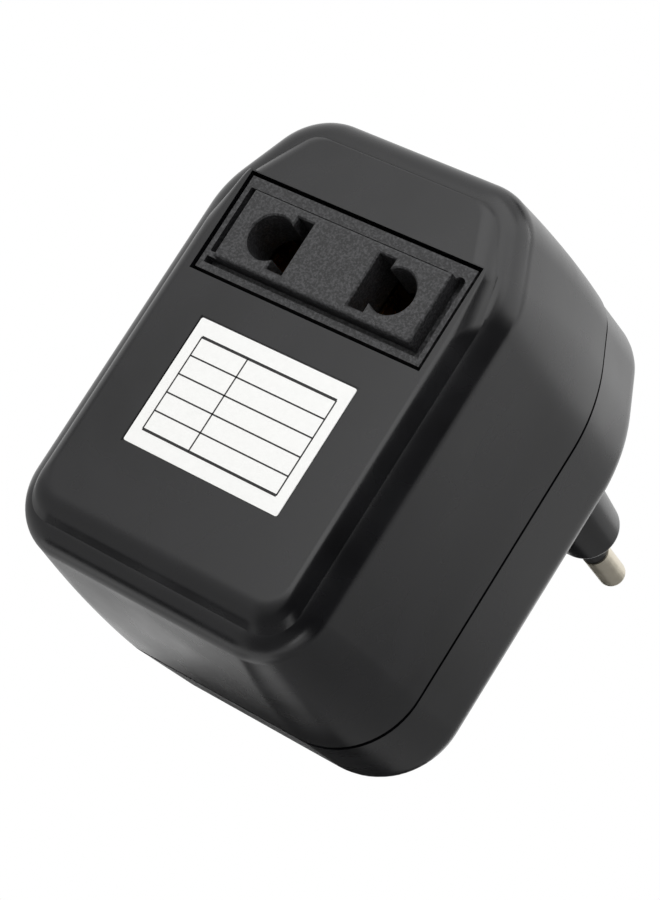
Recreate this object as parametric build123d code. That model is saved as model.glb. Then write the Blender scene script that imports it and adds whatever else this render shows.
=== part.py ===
"""Travel voltage converter: a case in two shells, a flat two-pin outlet in front, a two-pin plug behind.

Millimetres, +Z up. -Y is the outlet side and +Y the wall side.
The origin is the middle of the plug boss's end face, half way between the two pins.
Depths are counted back from the flat front panel; heights are counted from the outlet's centre line.
"""
import os
from collections import namedtuple
from math import atan2, cos, degrees, radians, sin, tan

from build123d import *

os.makedirs("parts", exist_ok=True)

# Driving dimensions. Everything is sized from the inside outwards.
smallest_corner = 0.6
roll_steps = 5
wall_steps = 3
wall = 2.2
wall_sink = 0.5              # how far a rib or column runs into the wall it stands on

# Outlet: an opening in the panel and a moulded insert in it.
opening_width = 36.0
opening_height = 14.44
insert_gap = 0.5
insert_sink = 0.2            # the insert's rim sits this far below the panel
moat_width = 33.6
moat_up = 5.25
moat_down = 5.8
moat_depth = 1.5
block_width = 30.6
block_height = 9.8
block_proud = 1.0
block_edge = 0.4
flange_side = 19.4
flange_chamfer = 3.2
flange_up = 7.5
flange_down = 8.9
flange_thickness = 1.8
hole_spacing = 19.0
hole_diameter = 6.2
blade_spacing = 12.7
blade_slot_width = 2.44
blade_slot_height = 7.5

# Contact holder behind the insert.
holder_side = 16.0
holder_half_height = 4.9
holder_back = 20.6
pocket_inner = 4.4
pocket_outer = 13.3
pocket_half_height = 3.8
pocket_back_wall = 1.3
ear_side = 6.5
ear_height = 12.0
ear_radius = 2.9
ear_front = 9.5
ear_thickness = 2.0
tail_slot_width = 1.4
tail_slot_height = 3.6
ear_width = 5.8

# Spring contacts.
strip = 0.5                  # sheet thickness
contact_half_height = 3.2
contact_front = 6.2
contact_inner = 5.1
contact_outer = 12.6
contact_throat_depth = 9.5
contact_back = 18.6
tail_side = 8.7
contact_throat_inner = 5.5
contact_throat_outer = 12.05
tail_length = 5.6
tail_half_height = 1.5

# Transformer core (E and I stacks), bobbin and windings. Its top lies just below the contact holder.
core_width = 41.0
core_leg = 13.0
core_window = 8.0
core_yoke = 6.0
core_window_length = 21.0
core_stack = 20.0
core_centre_depth = 26.0
core_gap = 0.6
core_front = core_centre_depth - core_stack / 2
core_back = core_centre_depth + core_stack / 2
core_top = -holder_half_height - core_gap
core_bottom = core_top - 2 * core_yoke - core_window_length
core_joint = core_top - core_yoke
bobbin_fit = 0.1
bobbin_wall = 0.9
bobbin_flange = 1.0
bobbin_end_fit = 0.1
bobbin_overhang = 7.5
inner_winding = 2.9
tape_thickness = 0.2
outer_winding = 2.7
winding_corner = 1.2
winding_end_fit = 0.15
winding_layer_fit = 0.03
tag_block_width = 23.0
tag_block_depth = 3.4
tag_block_height = 2.6
tag_spacing = 8.0
tag_diameter = 1.0
tag_length = 6.0
tag_sink = 2.0
tag_depth = core_back + bobbin_overhang - tag_block_depth / 2
tag_seat = core_joint - bobbin_end_fit + tag_block_height - tag_sink
fuse_diameter = 2.4
fuse_length = 9.0
fuse_lead_diameter = 0.6
fuse_lead_length = 5.0
fuse_rise = 16.5             # above the core's lower face

# Case outline, seen from the front: its right-hand half, at the front edge, the parting line and the back.
Outline = namedtuple("Outline", "side bend top_side top bottom bottom_r bend_r top_r")
side_slant = 25.5            # degrees, lean of the case's upper sides
side_room = 2.85             # between the core and the case's front edge, and below the core
bottom_room = 7.5
front_side = core_width / 2 + side_room
front_bottom = core_bottom - bottom_room
front_bend = 5.3
front_top_side = 16.9
front_top = 18.8
front_bottom_round = 8.6
front_bend_round = 14.4
front_top_round = 9.0
side_swell = 1.2
bottom_swell = 1.95
wall_swell = 1.87            # power of the curve from the front outline to the parting line's
seam_side = front_side + side_swell
seam_bottom = front_bottom - bottom_swell
seam_bend = 5.6
seam_top_side = 17.5
seam_top = 19.9
seam_bottom_round = 11.25
seam_bend_round = 26.6
seam_top_round = 8.1
side_taper = 0.85
bottom_taper = 0.75
rear_side = seam_side - side_taper
rear_bottom = seam_bottom + bottom_taper
rear_bend = 5.6
rear_top_side = 16.3
rear_top = 20.8
rear_bottom_round = 11.2
rear_bend_round = 26.0
rear_top_round = 8.6

# Depths of the case, from the front panel backwards.
shoulder_depth = 1.5
front_roll = 3.3             # rounding of the case's front edge
seam_depth = 29.1
seam_gap = 0.15
seam_step = 0.4              # the rear shell sits this far inside the front shell's rim
rear_roll = 7.5
back_room = 3.7              # between the bobbin and the rear wall
boss_reach = 18.2            # rear wall to the plug boss's end face
rear_depth = core_back + bobbin_overhang + back_room + wall
face_to_plug = rear_depth + boss_reach
tongue_thickness = 0.9
tongue_reach = 1.5
tongue_fit = 0.12

# The raised panel on the front: its foot, its crest and the slope across its upper part.
PanelRim = namedtuple(
    "PanelRim",
    "bottom_side bottom side low_z mid_side mid_z top_side top bottom_r low_r mid_r top_r",
)
slope_start = 7.4
slope_top = 15.4
slope_drop = 1.2
slope_edge = 2.0             # wider rounding along the sides of the laid-back part
slope_edge_top_share = 0.4   # share of that rounding along its top
foot_side = 21.3
foot_bottom_rise = 4.1       # above the front outline's bottom
foot_low_bend = 1.5
foot_mid_side = 19.5
foot_top_side = 15.6
foot_top = 16.8
foot_bottom_round = 5.2
foot_low_round = 6.0
foot_mid_round = 8.0
foot_top_round = 2.0
foot_bottom = front_bottom + foot_bottom_rise
crest_side = 19.9
crest_bottom_rise = 6.0
crest_low_bend = -1.0
crest_mid_side = 18.9
crest_top_side = 13.6
crest_top = 15.5
crest_bottom_round = 4.2
crest_low_round = 8.0
crest_mid_round = 6.0
crest_top_round = 2.6
crest_bottom = front_bottom + crest_bottom_rise
panel_foot_depth = 2.1
panel_edge = 0.9

# Plug boss, pins and sleeves.
boss_side = 17.0
boss_half_height = 4.5
boss_flare = 1.3
boss_root_sink = 5.4         # the boss starts this far inside the rear face
boss_edge = 1.4
boss_wall = 1.8
boss_end_wall = 8.3
pin_spacing = 19.0
pin_diameter = 4.0
pin_length = 19.0
pin_core = 2.8
pin_tip_round = 1.3
sleeve_length = 10.0
sleeve_sink = 2.0
sleeve_diameter = 3.6
sleeve_fit = 0.02
collar_diameter = 4.8
collar_thickness = 1.5
pin_tail_diameter = 2.4
pin_tail_length = 4.5
boss_root_depth = rear_depth - boss_root_sink

# Posts that hold the core between the two shells.
post_inner = 15.2
front_high_post_inner = 17.0
post_reach = 3.0             # how far a post's lip runs along the core
post_fit = 0.15
low_post_below = 2.5         # the posts' ends, counted from the core's lower and upper faces
low_post_above = 5.0
front_high_post_start = 10.5
front_high_post_end = 4.5
rear_high_post_start = 5.5
rear_high_post_end = 3.0

# Case screws and their columns.
low_screw_side = 13.0
low_screw_rise = 4.0         # above the front outline's bottom
high_screw_side = 15.2
high_screw_rise = 5.5        # above the bend in the front outline
column_radius = 3.1
tube_wall = 1.3
screw_bore_depth = 11.4
screw_seat_depth = rear_depth - screw_bore_depth
screw_length = 16.0
screw_shank = 2.9
screw_head = 5.6
screw_head_height = 2.2
screw_recess_span = 2.8
screw_recess_width = 0.7
screw_recess_depth = 1.2
pilot_fit = 0.02
clearance_hole = 3.4
counterbore = 6.6
pilot_extra = 1.5

# Small screws that hold the contact holder and the switch.
small_shank = 2.0
small_head = 3.8
small_head_height = 1.4
holder_screw_length = 7.0
switch_screw_length = 3.4
small_recess_span = 2.0
small_recess_width = 0.5
small_recess_depth = 0.7
ear_hole = 2.3

# Voltage selector in the top wall.
switch_setback = 3.4         # in front of the rear edge's rounding
switch_depth = rear_depth - rear_roll - switch_setback
switch_recess_length = 15.0
switch_recess_width = 8.0
switch_recess_drop = 1.2
switch_slot_length = 9.6
switch_slot_width = 4.4
frame_drop = 3.5             # below the parting line's top
frame_top = seam_top - frame_drop
frame_thickness = 0.8
frame_length = 21.4
frame_width = 7.2
frame_corner = 1.0
frame_slot_fit = 0.2
switch_body_length = 13.0
switch_body_width = 7.0
switch_body_height = 7.2
switch_cavity_drop = 2.0
switch_screw_side = 8.4
switch_boss_radius = 2.2
knob_length = 4.6
knob_width = 3.8
knob_rise = 3.7              # above the frame
knob_top = frame_top + knob_rise
knob_edge = 0.5
knob_rib_width = 0.5
knob_rib_depth = 0.35
knob_ribs = 3
slider_foot_length = 6.6
slider_foot_width = 4.6
slider_foot_height = 1.2
slider_fit = 0.1
switch_travel = 4.0
terminal_pitch = 4.0
terminal_row = 3.2
terminal_width = 1.2
terminal_thickness = 0.5
terminal_drop = 3.0
terminal_sink = 1.0
jumper_diameter = 0.8
jumper_high_drop = 0.8       # below the switch body
jumper_low_drop = 2.2
switch_bottom = frame_top - frame_thickness - switch_body_height

# Wires: where each one bends, counted from the rear wall, the switch or the winding tags.
wire_diameter = 1.3
wire_bend = 2.2
wire_butt = 0.05
plug_wire_clear = 0.7
plug_wire_cross_clear = 2.7
common_wire_clear = 1.2
outlet_wire_before = 9.5
outlet_wire_cross_before = 5.5
outlet_wire_below = 4.85
common_lead_before = 8.8
common_lead_dip_before = 3.8
common_lead_dip = -1.5
common_lead_below = 1.45
common_lead_short = 0.95
low_tap_above = 2.55
low_tap_below = 4.15
high_tap_above = 2.95
high_tap_below = 6.35

# Label.
label_width = 24.4
label_height = 17.7
label_gap = 5.03             # below the outlet's opening
label_centre = -opening_height / 2 - label_gap - label_height / 2
label_thickness = 0.12
label_recess = 0.15
label_margin = 0.2
label_corner = 0.3

# Places that several parts share.
front_outline = Outline(
    front_side,
    front_bend,
    front_top_side,
    front_top,
    front_bottom,
    front_bottom_round,
    front_bend_round,
    front_top_round,
)
seam_outline = Outline(
    seam_side,
    seam_bend,
    seam_top_side,
    seam_top,
    seam_bottom,
    seam_bottom_round,
    seam_bend_round,
    seam_top_round,
)
rear_outline = Outline(
    rear_side,
    rear_bend,
    rear_top_side,
    rear_top,
    rear_bottom,
    rear_bottom_round,
    rear_bend_round,
    rear_top_round,
)
panel_foot = PanelRim(
    foot_side,
    foot_bottom,
    foot_side,
    foot_low_bend,
    foot_mid_side,
    slope_start,
    foot_top_side,
    foot_top,
    foot_bottom_round,
    foot_low_round,
    foot_mid_round,
    foot_top_round,
)
panel_crest = PanelRim(
    crest_side,
    crest_bottom,
    crest_side,
    crest_low_bend,
    crest_mid_side,
    slope_start,
    crest_top_side,
    crest_top,
    crest_bottom_round,
    crest_low_round,
    crest_mid_round,
    crest_top_round,
)
low_screw_height = front_bottom + low_screw_rise
high_screw_height = front_bend + high_screw_rise
screw_places = [(-low_screw_side, low_screw_height), (low_screw_side, low_screw_height)]
screw_places += [(-high_screw_side, high_screw_height), (high_screw_side, high_screw_height)]
pin_places = (-pin_spacing / 2, pin_spacing / 2)
tag_places = (-tag_spacing, 0, tag_spacing)
terminal_rows = (switch_depth - terminal_row / 2, switch_depth + terminal_row / 2)
terminal_places = [(column * terminal_pitch, row) for row in terminal_rows for column in (-1, 0, 1)]

# Frames and small helpers.


def y_at(depth):
    """Y of a plane this far behind the front panel."""
    return depth - face_to_plug


def plane_at(depth):
    """Sketch plane at a depth, seen from the front: its x is X, its y is Z, its normal is -Y."""
    return Plane(origin=(0, y_at(depth), 0), x_dir=(1, 0, 0), z_dir=(0, -1, 0))


def block(x0, x1, d0, d1, z0, z1):
    """Box between two X values, two depths and two heights."""
    centre = ((x0 + x1) / 2, y_at((d0 + d1) / 2), (z0 + z1) / 2)
    return Pos(*centre) * Box(x1 - x0, d1 - d0, z1 - z0)


def rod(radius, d0, d1, x, z):
    """Round bar along Y between two depths."""
    return Pos(x, y_at((d0 + d1) / 2), z) * Rot(90, 0, 0) * Cylinder(radius, d1 - d0)


def upright(radius, x, depth, z0, z1):
    """Round bar along Z between two heights."""
    return Pos(x, y_at(depth), (z0 + z1) / 2) * Cylinder(radius, z1 - z0)


def rounded_face(points, radii):
    """Face through the mirror-image right-hand points, each corner rounded by its own radius."""
    corners = list(points) + [(-x, z) for x, z in reversed(points)]
    face = make_face(Polyline(*corners, close=True))
    for (x, z), radius in zip(points, radii):
        near = smallest_corner / 2
        picked = [v for v in face.vertices() if abs(abs(v.X) - x) < near and abs(v.Y - z) < near]
        face = fillet(picked, radius)
    return face


def save(name, shape):
    """Write one sub-part; every name is one node."""
    shape.label = name
    export_step(shape, f"parts/{name}.step")


# Case outlines.


def inset(o, t):
    """The same outline moved inwards by t."""
    lean = radians(side_slant)
    return Outline(
        o.side - t,
        o.bend - t * tan(lean / 2),
        o.top_side - t * (1 - sin(lean)) / cos(lean),
        o.top - t,
        o.bottom + t,
        max(o.bottom_r - t, smallest_corner),
        max(o.bend_r - t, smallest_corner),
        max(o.top_r - t, smallest_corner),
    )


def between(a, b, share):
    return Outline(*[p + (q - p) * share for p, q in zip(a, b)])


def outline_face(o, depth):
    points = [(o.side, o.bottom), (o.side, o.bend), (o.top_side, o.top)]
    return plane_at(depth) * rounded_face(points, [o.bottom_r, o.bend_r, o.top_r])


def front_body(t, back=seam_depth):
    """Front half of the case, moved inwards by t: rolled edge, then walls that swell to the seam."""
    start = shoulder_depth + front_roll
    roll = max(front_roll - t, smallest_corner)
    edge = []
    for step in range(roll_steps + 1):
        a = radians(90 * step / roll_steps)
        edge.append(
            outline_face(inset(front_outline, t + roll * (1 - sin(a))), start - roll * cos(a))
        )
    walls = []
    for step in range(wall_steps + 1):
        run = step / wall_steps
        share = 1 - (1 - run) ** wall_swell
        shape = inset(between(front_outline, seam_outline, share), t)
        walls.append(outline_face(shape, start + (seam_depth - start) * run))
    body = loft(edge) + loft(walls)
    if back > seam_depth:
        body += extrude(walls[-1], -(back - seam_depth))
    return body


def rear_body(t, front=seam_depth + seam_gap):
    """Rear half of the case, moved inwards by t: nearly straight walls and a rolled rear edge."""
    roll = max(rear_roll - t, smallest_corner)
    turn_start = rear_depth - t - roll
    first = inset(seam_outline, seam_step + t)
    last = inset(rear_outline, t)
    walls = [outline_face(first, front), outline_face(last, turn_start)]
    edge = []
    for step in range(roll_steps + 1):
        a = radians(90 * step / roll_steps)
        edge.append(
            outline_face(inset(rear_outline, t + roll * (1 - cos(a))), turn_start + roll * sin(a))
        )
    return loft(walls, ruled=True) + loft(edge)


def panel_face(p, depth):
    points = [(p.bottom_side, p.bottom), (p.side, p.low_z)]
    points += [(p.mid_side, p.mid_z), (p.top_side, p.top)]
    return plane_at(depth) * rounded_face(points, [p.bottom_r, p.low_r, p.mid_r, p.top_r])


# Front shell.

def core_envelope(spare):
    """Room the core needs, with the same spare all round except at its front and back faces."""
    side = core_width / 2 + spare
    return block(-side, side, core_front, core_back, core_bottom - spare, core_top + spare)


def core_posts(inner, bottom, top, d0, d1):
    """A left and a right post that stand in the case and grip the core's corners."""
    outer = front_outline.side + wall
    return block(inner, outer, d0, d1, bottom, top) + block(-outer, -inner, d0, d1, bottom, top)


def panel_inset(p, t, top_share):
    """The panel's rim moved inwards by t; the bends in its sides keep their heights."""
    radii = [max(r - t, smallest_corner) for r in (p.bottom_r, p.low_r, p.mid_r, p.top_r)]
    lean = radians(side_slant)
    top_side = p.top_side - t * (1 - sin(lean)) / cos(lean)
    return PanelRim(
        p.bottom_side - t,
        p.bottom + t,
        p.side - t,
        p.low_z,
        p.mid_side - t,
        p.mid_z,
        top_side,
        p.top - t * top_share,
        *radii,
    )


def panel_block(edge, top_share):
    """Panel with slanting walls and a crest rounded over the given width, flat all the way up."""
    share = panel_edge / panel_foot_depth
    shoulder = PanelRim(*[p + (q - p) * share for p, q in zip(panel_crest, panel_foot)])
    crest = []
    for step in range(roll_steps + 1):
        a = radians(90 * step / roll_steps)
        rim = panel_inset(shoulder, edge * (1 - sin(a)), top_share)
        crest.append(panel_face(rim, panel_edge * (1 - cos(a))))
    walls = [crest[-1], panel_face(panel_foot, panel_foot_depth)]
    return loft(crest) + loft(walls, ruled=True)


def raised_panel():
    """The panel, its upper part laid back: what a straight block and a tilted one have in common."""
    straight = panel_block(panel_edge, 1)
    turn = Axis((0, y_at(0), slope_start), (1, 0, 0))
    tilted = panel_block(slope_edge, slope_edge_top_share).rotate(
        turn, -degrees(atan2(slope_drop, slope_top - slope_start))
    )
    lower = 4 * panel_crest.side
    below = block(-lower, lower, -lower, panel_foot_depth, slope_start - lower, slope_start)
    return straight & (tilted + below)


def front_shell():
    outer = front_body(0)
    shell = outer + raised_panel()
    shell -= front_body(wall, seam_depth + wall)
    rebate = outline_face(
        inset(seam_outline, wall - tongue_thickness), seam_depth - tongue_reach - tongue_fit
    )
    shell -= extrude(rebate, -(tongue_reach + tongue_fit + wall))
    inside = shoulder_depth + wall
    added = core_posts(
        post_inner,
        core_bottom - low_post_below,
        core_bottom + low_post_above,
        inside - wall_sink,
        core_front + post_reach,
    )
    added += core_posts(
        front_high_post_inner,
        core_top - front_high_post_start,
        core_top - front_high_post_end,
        inside - wall_sink,
        core_front + post_reach,
    )
    for x, z in screw_places:
        added += rod(column_radius, inside - wall_sink, seam_depth, x, z)
    for x in (-ear_side, ear_side):
        added += rod(ear_radius, inside - wall_sink, ear_front, x, ear_height)
    added -= core_envelope(post_fit)
    tongue_room = outline_face(
        inset(seam_outline, wall - tongue_thickness), seam_depth - tongue_reach - tongue_fit
    )
    fence = extrude(
        outline_face(
            inset(seam_outline, wall + seam_step + tongue_fit),
            seam_depth - tongue_reach - tongue_fit,
        ),
        -wall * 2,
    )
    keep_clear = extrude(tongue_room, -wall * 2) - fence
    shell += (added & outer) - keep_clear
    shell -= block(
        -opening_width / 2,
        opening_width / 2,
        -wall,
        inside + wall,
        -opening_height / 2,
        opening_height / 2,
    )
    half_w = label_width / 2 + label_margin
    half_h = label_height / 2 + label_margin
    shell -= block(
        -half_w, half_w, -wall, label_recess, label_centre - half_h, label_centre + half_h
    )
    tip = screw_seat_depth - screw_length
    for x, z in screw_places:
        shell -= rod(screw_shank / 2 + pilot_fit, tip - pilot_extra, seam_depth + wall, x, z)
    for x in (-ear_side, ear_side):
        start = ear_front + ear_thickness - holder_screw_length
        shell -= rod(
            small_shank / 2 + pilot_fit, start - wall_sink, ear_front + wall, x, ear_height
        )
    return shell


# Rear shell with the plug boss.


def stadium(side, half_height, depth):
    return plane_at(depth) * SlotOverall(2 * side, 2 * half_height)


def plug_boss():
    root = stadium(boss_side + boss_flare, boss_half_height + boss_flare, boss_root_depth)
    boss = loft([root, stadium(boss_side, boss_half_height, face_to_plug)], ruled=True)
    end = boss.faces().sort_by(Axis.Y)[-1]
    return fillet(end.edges(), boss_edge)


def top_height(depth):
    """Height of the rear shell's top wall at a depth."""
    start = seam_depth + seam_gap
    low = seam_outline.top - seam_step
    return low + (rear_outline.top - low) * (depth - start) / (rear_depth - rear_roll - start)


def rear_shell():
    outer = rear_body(0)
    shell = outer + plug_boss()
    cavity = rear_body(wall, seam_depth)
    shell -= cavity
    shell -= extrude(
        stadium(boss_side - boss_wall, boss_half_height - boss_wall, rear_depth - rear_roll),
        -(face_to_plug - boss_end_wall - rear_depth + rear_roll),
    )
    ring = extrude(
        outline_face(
            inset(seam_outline, wall - tongue_thickness + tongue_fit), seam_depth - tongue_reach
        ),
        -(tongue_reach + seam_gap + wall),
    )
    ring -= extrude(
        outline_face(inset(seam_outline, wall + seam_step), seam_depth - wall), -3 * wall
    )
    far = 2 * rear_outline.side
    room = block(-far, far, seam_depth - wall, seam_depth + seam_gap, -2 * far, 2 * far)
    shell += ring & (outer + room)
    inside = rear_depth - wall
    added = core_posts(
        post_inner,
        core_bottom - low_post_below,
        core_bottom + low_post_above,
        core_back - post_reach,
        inside + wall_sink,
    )
    added += core_posts(
        post_inner,
        core_top - rear_high_post_start,
        core_top + rear_high_post_end,
        core_back - post_reach,
        inside + wall_sink,
    )
    for x, z in screw_places:
        added += rod(column_radius, seam_depth + seam_gap, screw_seat_depth, x, z)
        added += rod(counterbore / 2 + tube_wall, screw_seat_depth - tube_wall, rear_depth, x, z)
    for x in (-switch_screw_side, switch_screw_side):
        added += upright(switch_boss_radius, x, switch_depth, frame_top, seam_outline.top)
    added -= core_envelope(post_fit)
    shell += added & outer
    for x, z in screw_places:
        shell += rod(column_radius, seam_depth, seam_depth + seam_gap + wall_sink, x, z)
        shell -= rod(clearance_hole / 2, seam_depth - wall, rear_depth, x, z)
        shell -= rod(counterbore / 2, screw_seat_depth, rear_depth + wall, x, z)
    floor = top_height(switch_depth) - switch_recess_drop
    half = switch_recess_width / 2
    shell -= block(
        -switch_recess_length / 2,
        switch_recess_length / 2,
        switch_depth - half,
        switch_depth + half,
        floor,
        floor + 2 * wall,
    )
    half = switch_slot_width / 2
    shell -= block(
        -switch_slot_length / 2,
        switch_slot_length / 2,
        switch_depth - half,
        switch_depth + half,
        frame_top,
        floor + wall,
    )
    for x in (-switch_screw_side, switch_screw_side):
        top = frame_top - frame_thickness + switch_screw_length
        shell -= upright(small_shank / 2 + pilot_fit, x, switch_depth, frame_top - wall, top)
    for x in pin_places:
        shell -= rod(
            pin_core / 2 + sleeve_fit,
            face_to_plug - boss_end_wall - wall,
            face_to_plug + wall,
            x,
            0,
        )
        shell -= rod(
            sleeve_diameter / 2 + sleeve_fit, face_to_plug - sleeve_sink, face_to_plug + wall, x, 0
        )
    return shell


# Outlet insert, contact holder and contacts.


def outlet_insert():
    half_w = opening_width / 2 - insert_gap
    half_h = opening_height / 2 - insert_gap
    inside = shoulder_depth + wall
    body = block(-half_w, half_w, insert_sink, inside + flange_thickness, -half_h, half_h)
    c = flange_chamfer
    right = [
        (flange_side, -flange_down), (flange_side, flange_up - c), (flange_side - c, flange_up)
    ]
    flange = make_face(Polyline(*right, *[(-x, z) for x, z in reversed(right)], close=True))
    body += extrude(plane_at(inside) * flange, -flange_thickness)
    floor = insert_sink + moat_depth
    body -= block(
        -moat_width / 2,
        moat_width / 2,
        insert_sink - wall,
        floor,
        -moat_down,
        moat_up,
    )
    raised = block(
        -block_width / 2, block_width / 2, -block_proud, floor, -block_height / 2, block_height / 2
    )
    front = raised.faces().sort_by(Axis.Y)[0]
    body += fillet(front.edges(), block_edge)
    back = inside + flange_thickness + wall
    for side in (-1, 1):
        body -= rod(hole_diameter / 2, -wall, back, side * hole_spacing / 2, 0)
        x = side * blade_spacing / 2
        half_slot = blade_slot_width / 2
        body -= block(
            x - half_slot, x + half_slot, -wall, back, -blade_slot_height / 2, blade_slot_height / 2
        )
    return body


def contact_holder():
    front = shoulder_depth + wall + flange_thickness
    body = block(
        -holder_side, holder_side, front, holder_back, -holder_half_height, holder_half_height
    )
    for x in (-ear_side, ear_side):
        half = ear_width / 2
        body += block(x - half, x + half, ear_front, ear_front + ear_thickness, 0, ear_height)
        body += rod(half, ear_front, ear_front + ear_thickness, x, ear_height)
    for side in (-1, 1):
        x0, x1 = sorted((side * pocket_inner, side * pocket_outer))
        body -= block(
            x0,
            x1,
            front - wall,
            holder_back - pocket_back_wall,
            -pocket_half_height,
            pocket_half_height,
        )
        x = side * tail_side
        half = tail_slot_width / 2
        body -= block(
            x - half,
            x + half,
            contact_back,
            holder_back + wall,
            -tail_slot_height / 2,
            tail_slot_height / 2,
        )
    for x in (-ear_side, ear_side):
        body -= rod(ear_hole / 2, ear_front - wall, ear_front + 2 * wall, x, ear_height)
    return body


def contact():
    """Right-hand contact: one bent strip with two spring leaves, and a solder tail behind."""
    plan = [
        (contact_inner, contact_front),
        (contact_throat_inner, contact_throat_depth),
        (contact_inner, contact_back),
        (contact_outer, contact_back),
        (contact_throat_outer, contact_throat_depth),
        (contact_outer, contact_front),
    ]
    line = Polyline(*[(x, y_at(d)) for x, d in plan])
    bent = extrude(trace(line, strip), contact_half_height, both=True)
    half = strip / 2
    tail = block(
        tail_side - half,
        tail_side + half,
        contact_back,
        contact_back + tail_length,
        -tail_half_height,
        tail_half_height,
    )
    return bent + tail


# Plug pins.


def pin(x):
    inner_wall = face_to_plug - boss_end_wall
    step = face_to_plug + sleeve_length
    tip = rod(pin_diameter / 2, step, face_to_plug + pin_length, x, 0)
    end = tip.faces().sort_by(Axis.Y)[-1]
    body = fillet(end.edges(), pin_tip_round)
    body += rod(pin_core / 2, inner_wall - collar_thickness, step, x, 0)
    body += rod(collar_diameter / 2, inner_wall - collar_thickness, inner_wall, x, 0)
    body += rod(
        pin_tail_diameter / 2, inner_wall - collar_thickness - pin_tail_length, inner_wall, x, 0
    )
    return body


def sleeve(x):
    start = face_to_plug - sleeve_sink
    end = face_to_plug + sleeve_length
    return rod(sleeve_diameter / 2, start, end, x, 0) - rod(
        pin_core / 2 + sleeve_fit, start - wall, end + wall, x, 0
    )


# Transformer.


def core_e():
    side = core_width / 2
    body = block(-side, side, core_front, core_back, core_bottom, core_joint)
    for s in (-1, 1):
        x0, x1 = sorted((s * core_leg / 2, s * (core_leg / 2 + core_window)))
        body -= block(
            x0, x1, core_front - wall, core_back + wall, core_bottom + core_yoke, core_joint + wall
        )
    return body


def core_i():
    side = core_width / 2
    return block(-side, side, core_front, core_back, core_joint, core_top)


def ring(half_x, half_d, thickness, z0, z1, corner):
    """Rounded rectangular ring round the core's middle leg."""
    centre = Plane(origin=(0, y_at(core_centre_depth), z0))
    outer = centre * RectangleRounded(
        2 * (half_x + thickness), 2 * (half_d + thickness), corner + thickness
    )
    inner = centre * RectangleRounded(2 * half_x, 2 * half_d, corner)
    return extrude(outer - inner, z1 - z0)


def tube_half_x():
    return core_leg / 2 + bobbin_fit + bobbin_wall


def tube_half_d():
    return core_stack / 2 + bobbin_fit + bobbin_wall


def bobbin():
    z0 = core_bottom + core_yoke + bobbin_end_fit
    z1 = core_joint - bobbin_end_fit
    mid = core_centre_depth
    tube = Plane(origin=(0, y_at(mid), z0)) * RectangleRounded(
        2 * tube_half_x(), 2 * tube_half_d(), winding_corner
    )
    body = extrude(tube, z1 - z0)
    flange_x = core_leg / 2 + core_window - 3 * bobbin_fit
    flange_d = core_stack / 2 + bobbin_overhang
    for a in (z0, z1 - bobbin_flange):
        body += block(-flange_x, flange_x, mid - flange_d, mid + flange_d, a, a + bobbin_flange)
    body += block(
        -tag_block_width / 2,
        tag_block_width / 2,
        mid + flange_d - tag_block_depth,
        mid + flange_d,
        z1 - bobbin_flange,
        z1 + tag_block_height,
    )
    half_leg = core_leg / 2 + bobbin_fit
    half_stack = core_stack / 2 + bobbin_fit
    body -= block(-half_leg, half_leg, mid - half_stack, mid + half_stack, z0 - wall, z1 + wall)
    for x in tag_places:
        body -= upright(
            tag_diameter / 2 + sleeve_fit,
            x,
            tag_depth,
            z1 + tag_block_height - tag_sink,
            z1 + 2 * tag_block_height,
        )
    return body


def wound_layers():
    """Inner winding, tape, outer winding and cover tape, each lying on the one before."""
    z0 = core_bottom + core_yoke + bobbin_end_fit + bobbin_flange + winding_end_fit
    z1 = core_joint - bobbin_end_fit - bobbin_flange - winding_end_fit
    layers = [
        ("winding_inner", inner_winding),
        ("winding_tape", tape_thickness),
        ("winding_outer", outer_winding),
        ("winding_cover", tape_thickness),
    ]
    half_x = tube_half_x()
    half_d = tube_half_d()
    corner = winding_corner
    for name, thickness in layers:
        half_x += winding_layer_fit
        half_d += winding_layer_fit
        yield name, ring(half_x, half_d, thickness, z0, z1, corner)
        half_x += thickness
        half_d += thickness
        corner += thickness + winding_layer_fit


def thermal_fuse():
    wound = inner_winding + outer_winding + 2 * tape_thickness + 4 * winding_layer_fit
    depth = core_centre_depth + tube_half_d() + wound + winding_layer_fit + fuse_diameter / 2
    lying = Pos(0, y_at(depth), core_bottom + fuse_rise) * Rot(0, 90, 0)
    return lying * Cylinder(fuse_diameter / 2, fuse_length) + lying * Cylinder(
        fuse_lead_diameter / 2, fuse_length + 2 * fuse_lead_length
    )


def tag(x):
    return upright(tag_diameter / 2, x, tag_depth, tag_seat, tag_seat + tag_length)


# Screws.


def cross_cut(span, width, depth):
    """Cross-shaped driver recess cut down from z = 0 into a head below it."""
    down = Pos(0, 0, -depth / 2)
    return down * (Box(span, width, depth) + Box(width, span, depth))


def screw(shank, length, head, head_height, recess_span, recess_width, recess_depth):
    """Pan-head screw along Z: head above z = 0, shank below it."""
    top = Pos(0, 0, head_height / 2) * Cylinder(head / 2, head_height)
    rim = top.faces().sort_by(Axis.Z)[-1].edges()
    body = fillet(rim, head_height / 3) + Pos(0, 0, -length / 2) * Cylinder(shank / 2, length)
    return body - Pos(0, 0, head_height) * cross_cut(recess_span, recess_width, recess_depth)


def small_screw(length):
    return screw(
        small_shank,
        length,
        small_head,
        small_head_height,
        small_recess_span,
        small_recess_width,
        small_recess_depth,
    )


# Voltage selector.


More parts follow.
